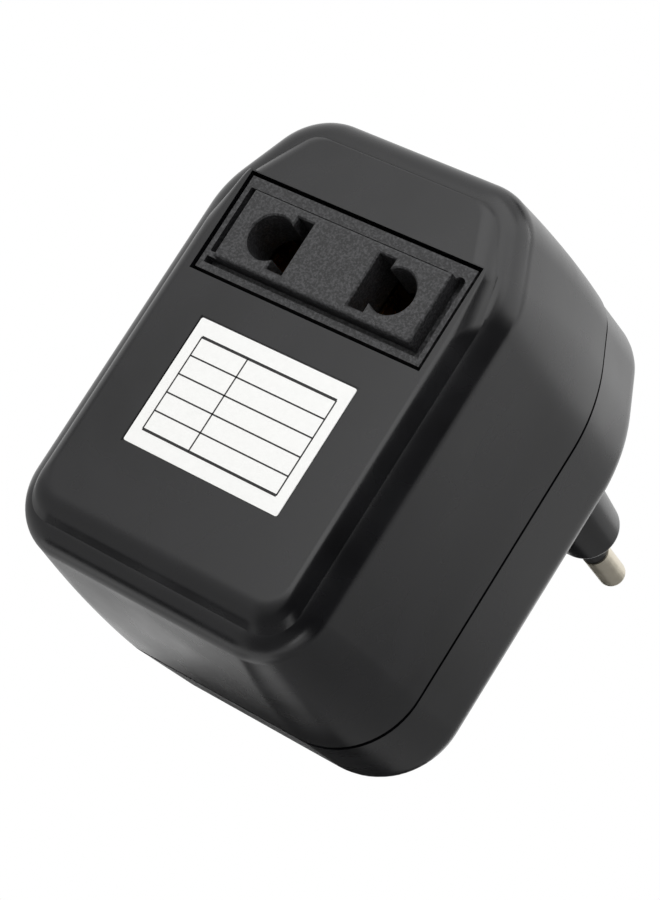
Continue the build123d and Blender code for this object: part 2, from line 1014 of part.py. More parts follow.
def switch_body():
    top = frame_top - frame_thickness
    half = switch_body_width / 2
    body = block(
        -switch_body_length / 2,
        switch_body_length / 2,
        switch_depth - half,
        switch_depth + half,
        switch_bottom,
        top,
    )
    half_run = (slider_foot_length + switch_travel) / 2 + slider_fit
    half = slider_foot_width / 2 + slider_fit
    body -= block(
        -half_run,
        half_run,
        switch_depth - half,
        switch_depth + half,
        top - switch_cavity_drop,
        top + wall,
    )
    for x, depth in terminal_places:
        body -= terminal_block(x, depth, sleeve_fit)
    return body


def terminal_block(x, depth, spare):
    half_w = terminal_width / 2 + spare
    half_t = terminal_thickness / 2 + spare
    return block(
        x - half_w,
        x + half_w,
        depth - half_t,
        depth + half_t,
        switch_bottom - terminal_drop,
        switch_bottom + terminal_sink,
    )


def switch_frame():
    plate = Pos(0, y_at(switch_depth), frame_top - frame_thickness) * extrude(
        RectangleRounded(frame_length, frame_width, frame_corner), frame_thickness
    )
    half = knob_width / 2 + frame_slot_fit
    run = (knob_length + switch_travel) / 2 + frame_slot_fit
    plate -= block(
        -run, run, switch_depth - half, switch_depth + half, frame_top - wall, frame_top + wall
    )
    for x in (-switch_screw_side, switch_screw_side):
        plate -= upright(ear_hole / 2, x, switch_depth, frame_top - wall, frame_top + wall)
    return plate


def switch_slider():
    """Slider in its rest place, at the left end of its travel."""
    x = -switch_travel / 2
    foot_top = frame_top - frame_thickness - slider_fit / 2
    half = slider_foot_width / 2
    foot = block(
        x - slider_foot_length / 2,
        x + slider_foot_length / 2,
        switch_depth - half,
        switch_depth + half,
        foot_top - slider_foot_height,
        foot_top,
    )
    half = knob_width / 2
    knob = block(
        x - knob_length / 2,
        x + knob_length / 2,
        switch_depth - half,
        switch_depth + half,
        foot_top - slider_foot_height,
        knob_top,
    )
    knob = fillet(knob.faces().sort_by(Axis.Z)[-1].edges(), knob_edge)
    for i in range(knob_ribs):
        place = x + (i - (knob_ribs - 1) / 2) * 2 * knob_rib_width
        half_rib = knob_rib_width / 2
        knob -= block(
            place - half_rib,
            place + half_rib,
            switch_depth - half,
            switch_depth + half,
            knob_top - knob_rib_depth,
            knob_top + wall,
        )
    return foot + knob


def jumper(a, b, z):
    """Straight link between two terminals, ending just short of both."""
    start = Vector(a[0], y_at(a[1]), z)
    end = Vector(b[0], y_at(b[1]), z)
    way = (end - start).normalized()
    short = (terminal_width / 2 + wire_butt) / abs(way.X) + jumper_diameter / 2 * abs(way.Y)
    start = start + way * short
    end = end - way * short
    return sweep(Plane(origin=start, z_dir=way) * Circle(jumper_diameter / 2), Line(start, end))


# Wires.


def wire(*points):
    """Insulated wire through (x, depth, height) points: straight runs and round bends."""
    path = FilletPolyline(*[(x, y_at(d), z) for x, d, z in points], radius=wire_bend)
    section = Plane(origin=path @ 0, z_dir=path % 0) * Circle(wire_diameter / 2)
    return sweep(section, path)


# Build.

save("front_shell", front_shell())
save("rear_shell", rear_shell())
save("outlet_insert", outlet_insert())
save("contact_holder", contact_holder())
right_contact = contact()
save("contact_right", right_contact)
save("contact_left", mirror(right_contact, about=Plane.YZ))
for name, x in zip(("left", "right"), pin_places):
    save(f"plug_pin_{name}", pin(x))
    save(f"pin_sleeve_{name}", sleeve(x))

save("core_e", core_e())
save("core_i", core_i())
save("bobbin", bobbin())
for name, shape in wound_layers():
    save(name, shape)
save("thermal_fuse", thermal_fuse())
for number, x in enumerate(tag_places, 1):
    save(f"winding_tag_{number}", tag(x))

case_screw = screw(
    screw_shank,
    screw_length,
    screw_head,
    screw_head_height,
    screw_recess_span,
    screw_recess_width,
    screw_recess_depth,
)
for number, (x, z) in enumerate(screw_places, 1):
    save(f"case_screw_{number}", Pos(x, y_at(screw_seat_depth), z) * Rot(-90, 0, 0) * case_screw)
for number, x in enumerate((-ear_side, ear_side), 1):
    seat = Pos(x, y_at(ear_front + ear_thickness), ear_height)
    save(f"holder_screw_{number}", seat * Rot(-90, 0, 0) * small_screw(holder_screw_length))
for number, x in enumerate((-switch_screw_side, switch_screw_side), 1):
    seat = Pos(x, y_at(switch_depth), frame_top - frame_thickness)
    save(f"switch_screw_{number}", seat * Rot(180, 0, 0) * small_screw(switch_screw_length))

save("switch_body", switch_body())
save("switch_frame", switch_frame())
save("switch_slider", switch_slider())
for number, (x, depth) in enumerate(terminal_places, 1):
    save(f"switch_terminal_{number}", terminal_block(x, depth, 0))
save("jumper_1", jumper(terminal_places[0], terminal_places[5], switch_bottom - jumper_high_drop))
save("jumper_2", jumper(terminal_places[3], terminal_places[2], switch_bottom - jumper_low_drop))

tail_end = contact_back + tail_length + wire_butt
pin_end = face_to_plug - boss_end_wall - collar_thickness - pin_tail_length - wire_butt
tag_top = tag_seat + tag_length + wire_butt
foot = switch_bottom - terminal_drop - wire_butt
back = rear_depth - wall
near_row, far_row = terminal_rows
left_pin, right_pin = pin_places
wires = {
    "wire_plug_switch": [
        (left_pin, pin_end, 0),
        (left_pin, back - plug_wire_clear, 0),
        (0, back - plug_wire_cross_clear, 0),
        (0, far_row, 0),
        (0, far_row, foot),
    ],
    "wire_plug_common": [
        (right_pin, pin_end, 0),
        (right_pin, back - common_wire_clear, 0),
        (tag_spacing, tag_depth, 0),
        (tag_spacing, tag_depth, tag_top),
    ],
    "wire_outlet_switch": [
        (-tail_side, tail_end, 0),
        (-tail_side, switch_depth - outlet_wire_before, 0),
        (0, switch_depth - outlet_wire_cross_before, 0),
        (0, near_row, foot - outlet_wire_below),
        (0, near_row, foot),
    ],
    "wire_outlet_common": [
        (tail_side, tail_end, 0),
        (tail_side, tag_depth - common_lead_before, 0),
        (tag_spacing, tag_depth - common_lead_dip_before, common_lead_dip),
        (tag_spacing, tag_depth - common_lead_short, tag_top - common_lead_below),
    ],
    "wire_low_tap": [
        (0, tag_depth, tag_top),
        (0, tag_depth, tag_top + low_tap_above),
        (-terminal_pitch, far_row, foot - low_tap_below),
        (-terminal_pitch, far_row, foot),
    ],
    "wire_high_tap": [
        (-tag_spacing, tag_depth, tag_top),
        (-tag_spacing, tag_depth, tag_top + high_tap_above),
        (-terminal_pitch, near_row, foot - high_tap_below),
        (-terminal_pitch, near_row, foot),
    ],
}
for name, points in wires.items():
    save(name, wire(*points))

label = extrude(
    plane_at(label_recess) * Pos(0, label_centre, 0) * RectangleRounded(
        label_width, label_height, label_corner
    ),
    label_thickness,
)
save("rating_label", label)
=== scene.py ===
from collections import namedtuple
from math import atan2, cos, pi, radians, sin, tan

import bmesh
import bpy
from mathutils import Matrix, Vector


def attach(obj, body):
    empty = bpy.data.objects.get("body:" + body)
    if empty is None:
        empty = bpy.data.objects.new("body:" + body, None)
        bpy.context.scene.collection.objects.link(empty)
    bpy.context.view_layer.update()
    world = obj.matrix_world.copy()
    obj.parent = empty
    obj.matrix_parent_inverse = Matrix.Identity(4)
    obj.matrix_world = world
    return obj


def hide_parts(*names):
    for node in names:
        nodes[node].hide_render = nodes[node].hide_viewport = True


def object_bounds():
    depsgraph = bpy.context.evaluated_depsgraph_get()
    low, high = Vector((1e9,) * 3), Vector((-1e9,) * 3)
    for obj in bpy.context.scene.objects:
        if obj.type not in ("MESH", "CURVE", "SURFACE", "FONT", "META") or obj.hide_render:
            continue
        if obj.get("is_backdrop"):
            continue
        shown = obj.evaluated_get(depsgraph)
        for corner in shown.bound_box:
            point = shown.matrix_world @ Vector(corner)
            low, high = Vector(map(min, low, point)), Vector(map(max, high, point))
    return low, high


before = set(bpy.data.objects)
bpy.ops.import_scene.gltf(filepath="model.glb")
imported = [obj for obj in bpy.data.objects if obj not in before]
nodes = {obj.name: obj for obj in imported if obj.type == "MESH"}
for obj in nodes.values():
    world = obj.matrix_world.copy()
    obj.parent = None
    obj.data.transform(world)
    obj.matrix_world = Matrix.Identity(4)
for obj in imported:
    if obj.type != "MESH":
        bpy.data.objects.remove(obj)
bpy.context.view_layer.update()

# The front shell.
# One black ABS moulding: a deep rounded hood whose upper sides lean in, with a raised panel in front.
# The panel's upper part is laid back. The outlet's opening and a bed for the label are cut in it.

mm = 0.001
face_to_plug = 67.6          # from the front panel back to the plug's end face
# Right half of the case seen from the front: half widths, heights, and the radius of each corner.
Outline = namedtuple("Outline", "side bend top_side top bottom bottom_r bend_r top_r")
front_outline = Outline(23.35, 5.3, 16.9, 18.8, -46.0, 8.6, 14.4, 9.0)
seam_outline = Outline(24.55, 5.6, 17.5, 19.9, -47.95, 11.25, 26.6, 8.1)
side_slant = radians(25.5)
smallest_corner = 0.6
wall = 2.2
wall_swell = 1.87            # power of the curve from the front outline to the seam's
shoulder_depth = 1.5         # the hood's flat face lies this far behind the panel's
front_roll = 3.3             # rounding of the hood's front edge
seam_depth = 29.1
tongue_thickness = 0.9       # lip of the rear shell that slides into the hood
tongue_reach = 1.5
tongue_fit = 0.12
turn_steps = 18              # points round each corner of an outline
run_steps = 5                # stretches along each straight side
roll_steps = 12              # loops over a rounded edge
wall_steps = 14              # loops along the walls
case_sharp = radians(13)     # edges that turn by more are drawn sharp


def at(x, depth, z):
    """Point in the part's frame, in metres, from millimetres and a depth behind the front panel."""
    return Vector((x * mm, (depth - face_to_plug) * mm, z * mm))


def inset(o, t):
    """The same case outline moved inwards."""
    return Outline(
        o.side - t,
        o.bend - t * tan(side_slant / 2),
        o.top_side - t * (1 - sin(side_slant)) / cos(side_slant),
        o.top - t,
        o.bottom + t,
        max(o.bottom_r - t, smallest_corner),
        max(o.bend_r - t, smallest_corner),
        max(o.top_r - t, smallest_corner),
    )


def between(a, b, share):
    """Outline that lies a share of the way from a to b."""
    return type(a)(*[p + (q - p) * share for p, q in zip(a, b)])


def rounded_loop(points, radii, depth):
    """Closed loop through the right-hand points and their mirror image, with round corners."""
    corners = [Vector(p) for p in points] + [Vector((-x, z)) for x, z in reversed(points)]
    radii = list(radii) + list(reversed(radii))
    arcs = []
    for i, corner in enumerate(corners):
        back = (corners[i - 1] - corner).normalized()
        ahead = (corners[(i + 1) % len(corners)] - corner).normalized()
        half = back.angle(ahead) / 2
        centre = corner + (back + ahead).normalized() * radii[i] / sin(half)
        start = corner + back * radii[i] / tan(half) - centre
        arcs.append([
            centre + Matrix.Rotation((pi - 2 * half) * k / turn_steps, 2) @ start
            for k in range(turn_steps + 1)
        ])
    loop = []
    for i, arc in enumerate(arcs):
        loop += arc
        end = arcs[(i + 1) % len(arcs)][0]
        loop += [arc[-1].lerp(end, k / run_steps) for k in range(1, run_steps)]
    return [at(p.x, depth, p.y) for p in loop]


def case_loop(o, depth):
    """Loop round the case's outline at a depth."""
    points = [(o.side, o.bottom), (o.side, o.bend), (o.top_side, o.top)]
    return rounded_loop(points, [o.bottom_r, o.bend_r, o.top_r], depth)


def mesh_piece(name, bm):
    """Finish a bmesh as an object in the scene, its normals pointing out."""
    bmesh.ops.recalc_face_normals(bm, faces=bm.faces)
    mesh = bpy.data.meshes.new(name)
    bm.to_mesh(mesh)
    bm.free()
    piece = bpy.data.objects.new(name, mesh)
    bpy.context.scene.collection.objects.link(piece)
    return piece


def lofted(name, loops):
    """Closed skin over loops of equally many points, its first and last loops filled."""
    bm = bmesh.new()
    rings = [[bm.verts.new(p) for p in loop] for loop in loops]
    for a, b in zip(rings, rings[1:]):
        for i in range(len(a)):
            j = (i + 1) % len(a)
            bm.faces.new((a[i], a[j], b[j], b[i]))
    bm.faces.new(rings[0])
    bm.faces.new(rings[-1])
    return mesh_piece(name, bm)


def slab(name, x0, x1, d0, d1, z0, z1):
    """Plain block between two X values, two depths and two heights, for cutting or joining."""
    bm = bmesh.new()
    bmesh.ops.create_cube(bm, size=1)
    low, high = at(x0, d0, z0), at(x1, d1, z1)
    for v in bm.verts:
        v.co = (low + high) / 2 + v.co * (high - low)
    return mesh_piece(name, bm)


def combine(piece, tool, how):
    """Join, cut or intersect piece with tool, and delete the tool."""
    step = piece.modifiers.new(how, "BOOLEAN")
    step.operation = how
    step.solver = "EXACT"
    step.object = tool
    shown = piece.evaluated_get(bpy.context.evaluated_depsgraph_get())
    result = bpy.data.meshes.new_from_object(shown)
    piece.modifiers.remove(step)
    piece.data = result
    bpy.data.objects.remove(tool)
    return piece


def smooth(piece, sharp_angle):
    """Smooth shading that keeps flat faces flat and turns sharp at the given angle."""
    piece.data.shade_smooth()
    piece.data.set_sharp_from_angle(angle=sharp_angle)
    normals = piece.modifiers.new("normals", "WEIGHTED_NORMAL")
    normals.keep_sharp = True
    return piece


def front_walls(t):
    """Loops of the front shell's walls, moved inwards by t, from the rolled edge back to the seam."""
    start = shoulder_depth + front_roll
    loops = []
    for step in range(wall_steps + 1):
        run = step / wall_steps
        shape = inset(between(front_outline, seam_outline, 1 - (1 - run) ** wall_swell), t)
        loops.append(case_loop(shape, start + (seam_depth - start) * run))
    return loops


def front_edge(t):
    """Loops of the rolled front edge, from the flat shoulder out to the walls."""
    start = shoulder_depth + front_roll
    roll = max(front_roll - t, smallest_corner)
    loops = []
    for step in range(roll_steps):
        a = pi / 2 * step / roll_steps
        loops.append(
            case_loop(inset(front_outline, t + roll * (1 - sin(a))), start - roll * cos(a))
        )
    return loops


# Right half of the panel: bottom corner, the two bends of its side, and top corner.
PanelRim = namedtuple(
    "PanelRim", "bottom_side bottom side low_z mid_side mid_z top_side top bottom_r low_r mid_r top_r"
)
panel_foot = PanelRim(21.3, -43.6, 21.3, 1.5, 19.5, 7.4, 15.6, 16.8, 5.2, 6.0, 8.0, 1.4)
panel_crest = PanelRim(19.9, -41.2, 19.9, -1.0, 18.9, 7.4, 13.6, 15.5, 4.2, 8.0, 6.0, 2.4)
slope_crest = panel_crest._replace(mid_side=18.1, top_side=14.2)
panel_foot_depth = 2.1           # inside the hood's rolled edge
crest_radius = 2.2
slope_crest_radius = 3.6         # wider along the sides of the laid-back part
slope_top_share = 0.3            # and narrow along its top
slope_start = 7.4                # height at which the panel leans back
slope_top = 15.4
slope_drop = 1.2                 # how far back it is at its top


def panel_loop(p, depth):
    """Loop round the panel's outline at a depth."""
    points = [
        (p.bottom_side, p.bottom), (p.side, p.low_z), (p.mid_side, p.mid_z), (p.top_side, p.top)
    ]
    return rounded_loop(points, [p.bottom_r, p.low_r, p.mid_r, p.top_r], depth)


def panel_block(name, crest, radius, top_share):
    """Panel with slanting walls and a crest rounded into them; top_share narrows its top edge."""
    slant = panel_foot.side - crest.side
    turn = atan2(panel_foot_depth, slant)
    loops = []
    for step in range(roll_steps + 1):
        a = turn * step / roll_steps
        share = radius * (sin(a) - tan(turn / 2)) / slant
        rim = between(crest, panel_foot, share)
        if share < 0:
            top = crest.top + (panel_foot.top - crest.top) * share * top_share
            rim = rim._replace(top=top)
        loops.append(panel_loop(rim, radius * (1 - cos(a))))
    return lofted(name, loops + [panel_loop(panel_foot, panel_foot_depth)])


loops = front_edge(0) + front_walls(0)
loops += [
    case_loop(inset(seam_outline, wall - tongue_thickness), depth)
    for depth in (seam_depth, seam_depth - tongue_reach - tongue_fit)
]
loops += reversed(front_walls(wall)[:-1])
loops.append(case_loop(inset(front_outline, wall), shoulder_depth + wall))
front = lofted("front_hood", loops)

panel = panel_block("panel", panel_crest, crest_radius, 1)
laid_back = panel_block("laid_back", slope_crest, slope_crest_radius, slope_top_share)
lean = atan2(slope_drop, slope_top - slope_start)
pivot = at(0, 0, slope_start)
tilt = Matrix.Translation(pivot) @ Matrix.Rotation(-lean, 4, "X") @ Matrix.Translation(-pivot)
laid_back.data.transform(tilt)
reach = 4 * panel_crest.side     # clear of the case on every side
below = slab("below", -reach, reach, -reach, panel_foot_depth, slope_start - reach, slope_start)
combine(laid_back, below, "UNION")
combine(panel, laid_back, "INTERSECT")
combine(front, panel, "UNION")

opening_width = 36.0
opening_height = 14.44
combine(
    front,
    slab(
        "opening",
        -opening_width / 2,
        opening_width / 2,
        -wall,
        shoulder_depth + 2 * wall,
        -opening_height / 2,
        opening_height / 2,
    ),
    "DIFFERENCE",
)
label_width = 24.4
label_height = 17.7
label_centre = -21.1
label_recess = 0.15
label_margin = 0.2
bed_side = label_width / 2 + label_margin
bed_half = label_height / 2 + label_margin
bed = slab(
    "bed", -bed_side, bed_side, -wall, label_recess, label_centre - bed_half, label_centre + bed_half
)
combine(front, bed, "DIFFERENCE")
smooth(front, case_sharp)


def linear(code):
    """Linear colour, with alpha, of an sRGB hex code."""
    parts = [int(code[i:i + 2], 16) / 255 for i in (1, 3, 5)]
    return [c / 12.92 if c <= 0.04045 else ((c + 0.055) / 1.055) ** 2.4 for c in parts] + [1.0]


def feed(node, inputs):
    """Give each input, by name or number, a value or a link from another node's output."""
    for socket, value in inputs.items():
        if isinstance(value, bpy.types.NodeSocket):
            node.id_data.links.new(value, node.inputs[socket])
        else:
            node.inputs[socket].default_value = value


def add(owner, kind, inputs, **settings):
    """Add a node, with its settings and its inputs, to a material or to the world."""
    node = owner.node_tree.nodes.new(kind)
    for key, value in settings.items():
        setattr(node, key, value)
    feed(node, inputs)
    return node


def new_material(name):
    """A material with a principled surface; returns it, its surface node and its object coordinates."""
    material = bpy.data.materials.new(name)
    material.use_nodes = True
    surface = material.node_tree.nodes["Principled BSDF"]
    return material, surface, add(material, "ShaderNodeTexCoord", {}).outputs["Object"]


noise_low = 0.3              # a noise texture mostly stays between these two
noise_high = 0.7


def moulded(name, colours, ior, roughness, patch, grain, relief):
    """Moulded plastic: shade and shine drift in patches, over an even fine grain. Sizes in mm."""
    # A colour mix has its two colours in inputs 6 and 7, and gives their blend in output 2.
    material, surface, place = new_material(name)
    patches = add(
        material, "ShaderNodeTexNoise", {"Vector": place, "Scale": 1 / (patch * mm), "Detail": 3.0}
    )
    share = add(
        material,
        "ShaderNodeMapRange",
        {"Value": patches.outputs["Fac"], "From Min": noise_low, "From Max": noise_high},
    ).outputs["Result"]
    shade = add(
        material,
        "ShaderNodeMix",
        {0: share, 6: linear(colours[0]), 7: linear(colours[1])},
        data_type="RGBA",
    )
    shine = add(
        material,
        "ShaderNodeMapRange",
        {"Value": share, "To Min": roughness[0], "To Max": roughness[1]},
    )
    fine = add(
        material, "ShaderNodeTexNoise", {"Vector": place, "Scale": 1 / (grain * mm), "Detail": 2.0}
    )
    bump = add(material, "ShaderNodeBump", {"Height": fine.outputs["Fac"], "Distance": relief * mm})
    feed(surface, {
        "Base Color": shade.outputs[2],
        "Roughness": shine.outputs["Result"],
        "IOR": ior,
        "Normal": bump.outputs["Normal"],
    })
    return material


def dress(piece, material):
    """Give a new piece its material, and let it move with the case."""
    piece.data.materials.clear()
    piece.data.materials.append(material)
    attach(piece, "case")


# Black ABS from a polished steel tool: deep black, glossy, its reflections softened in faint patches.
abs_black = moulded(
    "abs_black_moulded", ("#0a0a0c", "#0f0f12"), 1.53, (0.23, 0.3), patch=9, grain=1.1, relief=0.0015
)
dress(front, abs_black)
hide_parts("front_shell")

# The rear shell.
# One black ABS moulding that closes the hood from behind, a little inside its rim.
# The plug boss is part of it. Four screw holes and the selector's recess are cut in it.

rear_outline = Outline(23.7, 5.6, 16.3, 20.8, -47.2, 11.2, 26.0, 8.6)
seam_gap = 0.9               # drawn wider than the real one, so that the line shows as dark
seam_step = 0.2              # the rear shell sits this far inside the hood's rim, but not below
rear_depth = 49.4
rear_roll = 7.5              # rounding of the rear edge
boss_side = 17.0
boss_half_height = 4.5
boss_flare = 1.3             # the boss widens this much towards its root
boss_root_depth = 44.0
boss_edge = 1.4
screw_places = [(-13.0, -42.0), (13.0, -42.0), (-15.2, 10.8), (15.2, 10.8)]
screw_seat_depth = 38.0
counterbore = 6.6
tube_wall = 1.3
edge_steps = 8
bar_sides = 64


def rear_loops(t, front_depth):
    """Loops of the rear shell moved inwards by t: straight walls, then the rolled rear edge."""
    roll = max(rear_roll - t, smallest_corner)
    turn_start = rear_depth - t - roll
    first = inset(seam_outline, seam_step + t)._replace(bottom=seam_outline.bottom + t)
    last = inset(rear_outline, t)
    loops = []
    for step in range(edge_steps):
        run = step / edge_steps
        depth = front_depth + (turn_start - front_depth) * run
        loops.append(case_loop(between(first, last, run), depth))
    for step in range(roll_steps + 1):
        a = pi / 2 * step / roll_steps
        shape = inset(rear_outline, t + roll * (1 - cos(a)))
        loops.append(case_loop(shape, turn_start + roll * sin(a)))
    return loops


def stadium_loop(side, half_height, depth):
    """Loop with half-round ends."""
    loop = []
    for end in (1, -1):
        for k in range(2 * turn_steps + 1):
            a = pi / 2 * end - pi * k / (2 * turn_steps)
            loop.append(at(
                end * (side - half_height) + half_height * cos(a), depth, half_height * sin(a)
            ))
    return loop


def bar(name, radius, d0, d1, x, z):
    """Round bar along Y between two depths."""
    turns = [2 * pi * k / bar_sides for k in range(bar_sides)]
    return lofted(name, [
        [at(x + radius * cos(a), d, z + radius * sin(a)) for a in turns] for d in (d0, d1)
    ])


seam_start = seam_depth + seam_gap
outer = rear_loops(0, seam_start)
inner = rear_loops(wall, seam_start)
tongue_out = inset(seam_outline, wall - tongue_thickness + tongue_fit)
tongue_in = inset(seam_outline, wall + seam_step)
loops = list(reversed(outer))
loops += [case_loop(tongue_out, seam_start), case_loop(tongue_out, seam_depth - tongue_reach)]
loops += [case_loop(tongue_in, seam_depth - tongue_reach)] + inner
rear = lofted("rear_cover", loops)

for x, z in screw_places:
    tube = bar("tube", counterbore / 2 + tube_wall, screw_seat_depth - tube_wall, rear_depth, x, z)
    combine(tube, lofted("rear_solid", outer), "INTERSECT")
    combine(rear, tube, "UNION")

loops = []
for step in range(edge_steps + 1):
    a = pi / 2 * step / edge_steps
    loops.append(stadium_loop(
        boss_side - boss_edge * (1 - sin(a)),
        boss_half_height - boss_edge * (1 - sin(a)),
        face_to_plug - boss_edge * (1 - cos(a)),
    ))
loops.append(stadium_loop(boss_side + boss_flare, boss_half_height + boss_flare, boss_root_depth))
boss = lofted("boss", loops)
combine(rear, boss, "UNION")
for x, z in screw_places:
    combine(rear, bar("bore", counterbore / 2, screw_seat_depth, rear_depth + wall, x, z), "DIFFERENCE")

switch_depth = 38.5          # middle of the selector
recess_length = 15.0
recess_width = 8.0
recess_drop = 1.2
slot_length = 9.6
slot_width = 4.4
frame_top = 16.4
top_low = seam_outline.top - seam_step
top_share = (switch_depth - seam_start) / (rear_depth - rear_roll - seam_start)
recess_floor = top_low + (rear_outline.top - top_low) * top_share - recess_drop
for name, length, width, low, high in (
    ("recess", recess_length, recess_width, recess_floor, recess_floor + 2 * wall),
    ("slot", slot_length, slot_width, frame_top, recess_floor + wall),
):
    near = switch_depth - width / 2
    hollow = slab(name, -length / 2, length / 2, near, near + width, low, high)
    combine(rear, hollow, "DIFFERENCE")
smooth(rear, case_sharp)
dress(rear, abs_black)
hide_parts("rear_shell")

# The outlet insert.
# One moulding of black heat-proof plastic with a spark-eroded face, clipped in from behind.
# A block with two keyholes stands in a narrow moat. The outer rim lies just below the panel.

insert_gap = 0.5             # round the rim, to the opening's edge
insert_sink = 0.2            # the rim's face lies this far below the panel
moat_side = 16.8
moat_up = 5.25
moat_down = 5.8
moat_floor = 1.7
groove_end = 13.9            # the groove above the block stops short of the right-hand moat
left_moat_end = -4.2         # the left-hand moat stops above the block's lower edge
moat_round = 0.7
moat_round_steps = 12
moat_overlap = 1.0           # the right-hand moat is cut this far in where the block then goes
block_side = 15.3
block_half = 4.9
block_proud = 1.0
block_edge = 0.4
block_edge_steps = 4
flange_side = 19.4           # the flange holds the insert behind the opening
flange_up = 7.5
flange_down = 8.9
flange_chamfer = 3.2
flange_back = 5.5
hole_side = 9.5
hole_radius = 3.1
blade_side = 6.35
blade_half_width = 1.22
blade_half_height = 3.75
keyhole_chamfer = 0.2
hole_steps = 72
insert_sharp = radians(35)


def prism(name, points, d0, d1):
    """Solid between two depths over a closed outline seen from the front."""
    return lofted(name, [[at(x, d, z) for x, z in points] for d in (d0, d1)])


def rectangle(x, z):
    """Corners of a rectangle from its half width and half height."""
    return [(-x, -z), (x, -z), (x, z), (-x, z)]


rim_side = opening_width / 2 - insert_gap
rim_half = opening_height / 2 - insert_gap
insert = slab("insert", -rim_side, rim_side, insert_sink, flange_back, -rim_half, rim_half)
flange = [
    (flange_side, -flange_down),
    (flange_side, flange_up - flange_chamfer),
    (flange_side - flange_chamfer, flange_up),
]
flange += [(-x, z) for x, z in reversed(flange)]
combine(insert, prism("flange", flange, shoulder_depth + wall, flange_back), "UNION")

above = insert_sink - wall
for name, x0, x1, z0, z1 in (
    ("groove", -moat_side, groove_end, 0, moat_up),
    ("left_moat", -moat_side, 0, left_moat_end, moat_up),
    ("low_moat", -moat_side, moat_side, -moat_down, -block_half),
):
    combine(insert, slab(name, x0, x1, above, moat_floor, z0, z1), "DIFFERENCE")
moat_middle = (block_side + moat_side) / 2
moat_end = moat_up - moat_round
under_block = block_side - moat_overlap
right_moat = [(under_block, -moat_down), (moat_side, -moat_down)]
for k in range(moat_round_steps + 1):
    a = pi * k / moat_round_steps
    right_moat.append(
        (moat_middle + (moat_side - moat_middle) * cos(a), moat_end + moat_round * sin(a))
    )
right_moat.append((under_block, moat_end))
combine(insert, prism("right_moat", right_moat, above, moat_floor), "DIFFERENCE")

loops = []
for step in range(block_edge_steps + 1):
    a = pi / 2 * step / block_edge_steps
    t = block_edge * (1 - sin(a))
    depth = block_edge * (1 - cos(a)) - block_proud
    loops.append([at(x, depth, z) for x, z in rectangle(block_side - t, block_half - t)])
loops.append([at(x, moat_floor + wall, z) for x, z in rectangle(block_side, block_half)])
combine(insert, lofted("block", loops), "UNION")


def keyhole(side, grow, depth):
    """Round hole joined to a blade slot, from in front of the block to a depth, narrowing by grow."""
    near = -block_proud - keyhole_chamfer
    turns = [2 * pi * k / hole_steps for k in range(hole_steps)]
    hole = [
        [at(side * hole_side + r * cos(a), d, r * sin(a)) for a in turns]
        for r, d in ((hole_radius + grow, near), (hole_radius, depth))
    ]
    blade = [
        [at(side * blade_side + x, d, z)
         for x, z in rectangle(blade_half_width + g, blade_half_height + g)]
        for g, d in ((grow, near), (0, depth))
    ]
    return combine(lofted("hole", hole), lofted("blade", blade), "UNION")


for side in (-1, 1):
    combine(insert, keyhole(side, 0, flange_back + wall), "DIFFERENCE")
    combine(insert, keyhole(side, 2 * keyhole_chamfer, keyhole_chamfer - block_proud), "DIFFERENCE")
smooth(insert, insert_sharp)

ground = 0.42                # values of the grain's noise that are drawn as ground and as peak
peak = 0.68


def sparked(name, colours, roughness, grit, relief):
    """Plastic from a spark-eroded tool: pale peaks on a darker ground, dull. Grit is in mm."""
    material, surface, place = new_material(name)
    grain = add(
        material, "ShaderNodeTexNoise", {"Vector": place, "Scale": 1 / (grit * mm), "Detail": 4.0}
    )
    peaks = add(
        material,
        "ShaderNodeMapRange",
        {"Value": grain.outputs["Fac"], "From Min": ground, "From Max": peak},
    ).outputs["Result"]
    shade = add(
        material,
        "ShaderNodeMix",
        {0: peaks, 6: linear(colours[0]), 7: linear(colours[1])},
        data_type="RGBA",
    )
    bump = add(material, "ShaderNodeBump", {"Height": peaks, "Distance": relief * mm})
    feed(surface, {
        "Base Color": shade.outputs[2],
        "Roughness": roughness,
        "IOR": 1.55,
        "Normal": bump.outputs["Normal"],
    })
    return material


# Black phenolic-like moulding, spark-eroded: dark grey and speckled, with no clear reflection.
# The real grit is about 0.05 mm; it is drawn at 0.3 mm so that it shows.
phenolic_black = sparked(
    "phenolic_black_sparked", ("#141416", "#3e3e40"), 0.52, grit=0.3, relief=0.03
)
dress(insert, phenolic_black)
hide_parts("outlet_insert")

# The contact holder.
# A black heat-proof moulding screwed behind the outlet, with a deep pocket for each spring contact.
# Two small pan-head screws hold it by its ears.


def coat(names, material):
    """Give CAD nodes that keep their own shape a material."""
    for name in names:
        nodes[name].data.materials.clear()
        nodes[name].data.materials.append(material)


# Black glass-filled nylon: a dull, slightly cloudy black.
nylon_black = moulded(
    "nylon_black_glass_filled", ("#161617", "#202021"), 1.53, (0.45, 0.6),
    patch=5, grain=0.5, relief=0.012,
)
coat(["contact_holder"], nylon_black)

bands_per_metre = 3.2        # that a wave texture draws at a scale of 1


